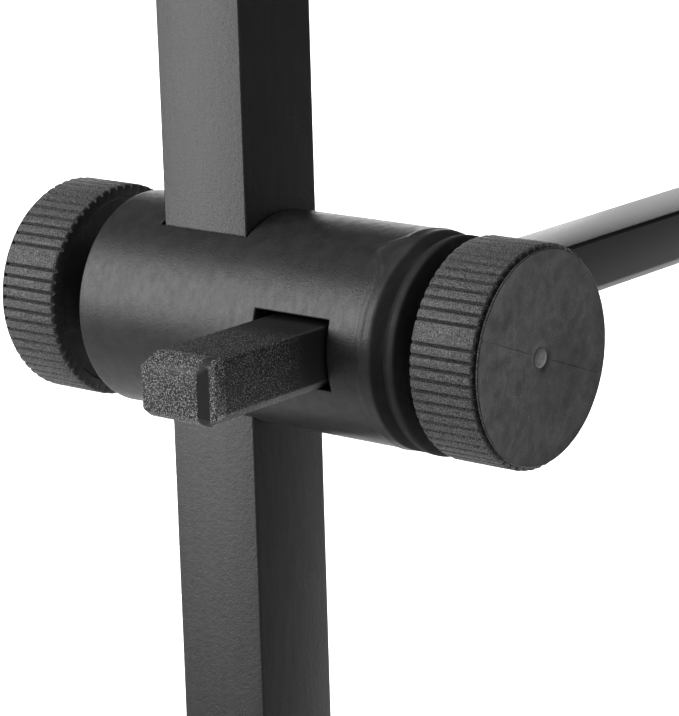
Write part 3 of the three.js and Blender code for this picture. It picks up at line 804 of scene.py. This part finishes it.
def knob_loops(radius, face, ribs, blanks):
    """Loops of (along, y, z) round the knob, with its ribs and the mould's fine parting line."""
    count = ribs * RIB_STEPS
    angles = [TAU * i / count for i in range(count)]
    cuts = [rib_cut(i, radius, ribs, blanks) for i in range(count)]
    loops = []
    for r, along, share in knob_back(radius, face) + knob_front(radius, face):
        on_face = share == 0 and along > face - 1.3 and r > 2.4
        loop = []
        for angle, cut in zip(angles, cuts):
            turns = [math.radians(away(math.degrees(angle), blank)) for blank in blanks]
            parting = max(bell(turn * r, 0.15) for turn in turns)
            ring = r - share * cut + 0.05 * parting * share
            raised = 0.07 * parting if on_face else 0.0
            loop.append((along + raised, ring * math.cos(angle), ring * math.sin(angle)))
        loops.append(loop)
    blind_end = [
        [(HUB_DEPTH, r * math.cos(angle), r * math.sin(angle)) for angle in angles]
        for r in (0.02, KNOB_HUB)
    ]
    return blind_end + loops


def paint_knob(knob, origin, outward, face, rim):
    """Slot 0 is the ribs, slot 1 the face and the smooth back, whose darker plastic on the back is also
    painted shade in the gap to the body, and slot 2 the plug.
    """
    for polygon in knob.data.polygons:
        offset = polygon.center - origin
        reach = math.hypot(offset.y, offset.z)
        if offset.x * outward < (face - 2) * MM:
            # The back takes the face's darker plastic, which also stands in as painted shade in the gap to
            # the body.
            polygon.material_index = 1 if polygon.normal.x * outward < -0.5 else 0
        elif reach < PLUG * MM:
            polygon.material_index = 2
        elif abs(polygon.normal.x) > 0.8 and reach < rim * MM:
            polygon.material_index = 1


def make_knob(name, node_name, outward, back_x, axis_at, radius, length, ribs, blanks, materials):
    """A ribbed knob on the x axis. `blanks` are the angles of its two plain lands."""
    loops = knob_loops(radius, length, ribs, blanks)
    vertices, faces = stack(loops)
    origin = Vector((back_x, axis_at.y, axis_at.z))
    points = [origin + Vector((outward * along, y, z)) * MM for along, y, z in vertices]
    made = piece(name, points, faces, materials[0], node_name, [node_name], smooth=38)
    for extra in materials[1:]:
        made.data.materials.append(extra)
    paint_knob(made, origin, outward, length, radius - FACE_EDGE)


def make_knobs(materials):
    lo, hi = span("arm_knob")
    length = (hi.x - lo.x) / MM
    make_knob("hand_knob_arm", "arm_knob", 1, lo.x, CLAMP, 20.15, length, 60, (159, 339), materials)
    lo, hi = span("post_knob")
    length = (hi.x - lo.x) / MM - 0.5
    make_knob("hand_knob_post", "post_knob", -1, hi.x, CLAMP, 20.5, length, 60, (153, 333), materials)
    lo, hi = span("tilt_knob")
    length = (hi.x - lo.x) / MM
    make_knob("hand_knob_tilt", "tilt_knob", 1, lo.x, PIVOT, 16.0, length, 48, (93.75, 273.75), materials)


# ---- post and arm ----

# Left, right, bottom and top of the arm's section about the middle of its CAD node.
ARM_SIDES = (-7.8, 7.8, -6.2, 5.35)
ARM_BORE = (-6.3, 6.3, -4.6, 4.0)
ARM_CUT = 1.8  # cut of the arm's long edges, apart from the one at the upper right
ARM_NICK = 0.45
POST_SIDE, POST_BORE, POST_CORNER = 20, 17, 0.4


def box_tube(name, outline, inner, place, start, end, body, material, replaces):
    """A hollow section with slightly broken end edges. `place` puts (u, v, along) in space."""
    nick = 0.25 * MM
    shrink = 0.985
    rows = [
        (inner, start, 1.0), (outline, start, shrink), (outline, start + nick, 1.0),
        (outline, end - nick, 1.0), (outline, end, shrink), (inner, end, 1.0),
    ]
    loops = []
    for shape, along, factor in rows:
        loops.append([place(u * MM * factor, v * MM * factor, along) for u, v in shape])
    vertices, faces = stack(loops, closed=True)
    piece(name, vertices, faces, material, body, replaces)


def make_post(material):
    outline = round_rect(POST_SIDE, POST_SIDE, POST_CORNER)
    inner = round_rect(POST_BORE, POST_BORE, POST_CORNER)

    def place(u, v, along):
        return Vector((POST.x + u, POST.y + v, along))

    box_tube("post", outline, inner, place, POST_LO.z, POST_HI.z,
             "base", material, ["post_tube"])


def cut_corners(left, right, low, high, cut, nick, fillet):
    """A rectangle with cut corners, given by its four sides. The upper right one is cut by `nick`."""
    corners = [
        (right, low + cut), (right, high - nick), (right - nick, high), (left + cut, high),
        (left, high - cut), (left, low + cut), (left + cut, low), (right - cut, low),
    ]
    return rounded(corners, fillet)


def make_arm(material):
    outline = cut_corners(*ARM_SIDES, ARM_CUT, ARM_NICK, 0.3)
    inner = cut_corners(*ARM_BORE, 1.0, 1.0, 0.2)

    def place(u, v, along):
        return Vector((ARM.x + u, along, ARM.z + v))

    box_tube("arm", outline, inner, place, ARM_LO.y, ARM_HI.y, "arm", material, ["arm_bar"])


def make_arm_cap(material):
    """The arm's front end: its section runs out above, below and on the right to a flat grained face."""
    lo, hi = span("arm_front_cap")
    left, right, low, high = ARM_SIDES
    stem_left, stem_right, stem_low, stem_high, stem_cut = -5.9, 5.9, -4.4, 3.6, 0.9
    flange_end = (ARM_LO.y - lo.y) / MM - 0.02
    stem_end = (hi.y - lo.y) / MM
    # (distance from the front, left, right, low, high, corner cuts)
    rows = [
        (0.0, left + 0.1, 4.7, low + 1.3, 3.2, 0.4),
        (0.08, left, 4.85, low + 1.15, 3.35, 0.45),
        (0.85, left, 6.1, low + 0.3, 4.1, 0.95),
        (1.1, left, 6.5, low + 0.15, 4.3, 1.1),
        (1.16, left, 6.62, low + 0.1, 4.35, 1.12),
        (1.2, left, 7.7, low + 0.08, 4.4, 1.15),
        (1.34, left, 7.9, low + 0.02, 4.55, 1.25),
        (2.0, left, 7.9, low, high - 0.2, 1.7),
        (2.3, left, right + 0.03, low, high, ARM_CUT),
        (flange_end, left, right, low, high, ARM_CUT),
        (flange_end, stem_left, stem_right, stem_low, stem_high, stem_cut),
        (stem_end, stem_left, stem_right, stem_low, stem_high, stem_cut),
    ]
    loops = []
    for along, first, last, bottom, top, cut in rows:
        fillet = 0.12 if along < 1.9 else 0.3
        shape = cut_corners(first, last, bottom, top, cut, ARM_NICK, fillet)
        loops.append([Vector((ARM.x + u * MM, lo.y + along * MM, ARM.z + v * MM)) for u, v in shape])
    vertices, faces = stack(loops)
    piece("arm_end", vertices, faces, material, "arm", ["arm_front_cap"], smooth=25)


# ---- CAD nodes that keep their shape ----

# Width in millimetres of the small bevel that breaks a node's sharp edges.
EDGES = {
    "base_crossbar": 0.8, "base_leg_left": 0.8, "base_leg_right": 0.8, "crossbar_cap_left": 0.7,
    "crossbar_cap_right": 0.7, "leg_cap_left": 0.7, "leg_cap_right": 0.7, "post_socket": 0.4,
    "post_top_cap": 0.6, "arm_yoke": 0.8, "desk_bracket": 0.4, "page_clip_left": 0.35,
    "page_clip_right": 0.35, "clip_lug_left": 0.3, "clip_lug_right": 0.3, "foot_front_left": 0.5,
    "foot_front_right": 0.5, "foot_rear_left": 0.5, "foot_rear_right": 0.5,
}


def soften(made, width):
    """Breaks the sharp edges of a CAD node with a small bevel."""
    weld = made.modifiers.new("weld", "WELD")
    weld.merge_threshold = 1e-6
    bevel = made.modifiers.new("bevel", "BEVEL")
    bevel.width = width * MM
    bevel.segments = 2
    bevel.limit_method = "ANGLE"
    bevel.angle_limit = math.radians(35)
    bevel.harden_normals = False


def finish_cad_nodes(materials):
    """Gives each CAD node the material of its slot, and breaks the edges that are listed."""
    slot_of = {entry["node"]: entry["material_slot"] for entry in frame["record"]["subparts"]}
    for name, made in frame["nodes"].items():
        made.data.materials.clear()
        made.data.materials.append(materials[slot_of[name]])
    for name, width in EDGES.items():
        soften(frame["nodes"][name], width)


# ---- the whole scene ----

make_camera()
materials = {
    "powder_coat": powder_coat(),
    "satin_paint": satin_paint(),
    "arm_coat": arm_coat(),
    "arm_cap_plastic": cap_coat(),
    "knob_plastic": knob_plastic(),
    "black_plastic": plain_plastic(),
    "nylon": nylon(),
    "rubber": rubber(),
    "zinc_steel": zinc_steel(),
    "black_steel": black_steel(),
}
finish_cad_nodes(materials)
make_clamp_body(materials["satin_paint"])
make_knobs((materials["knob_plastic"], face_plastic(), gate_plastic()))
make_post(materials["powder_coat"])
make_arm(materials["arm_coat"])
make_arm_cap(materials["arm_cap_plastic"])
make_lights()
make_floor()
colour_management()
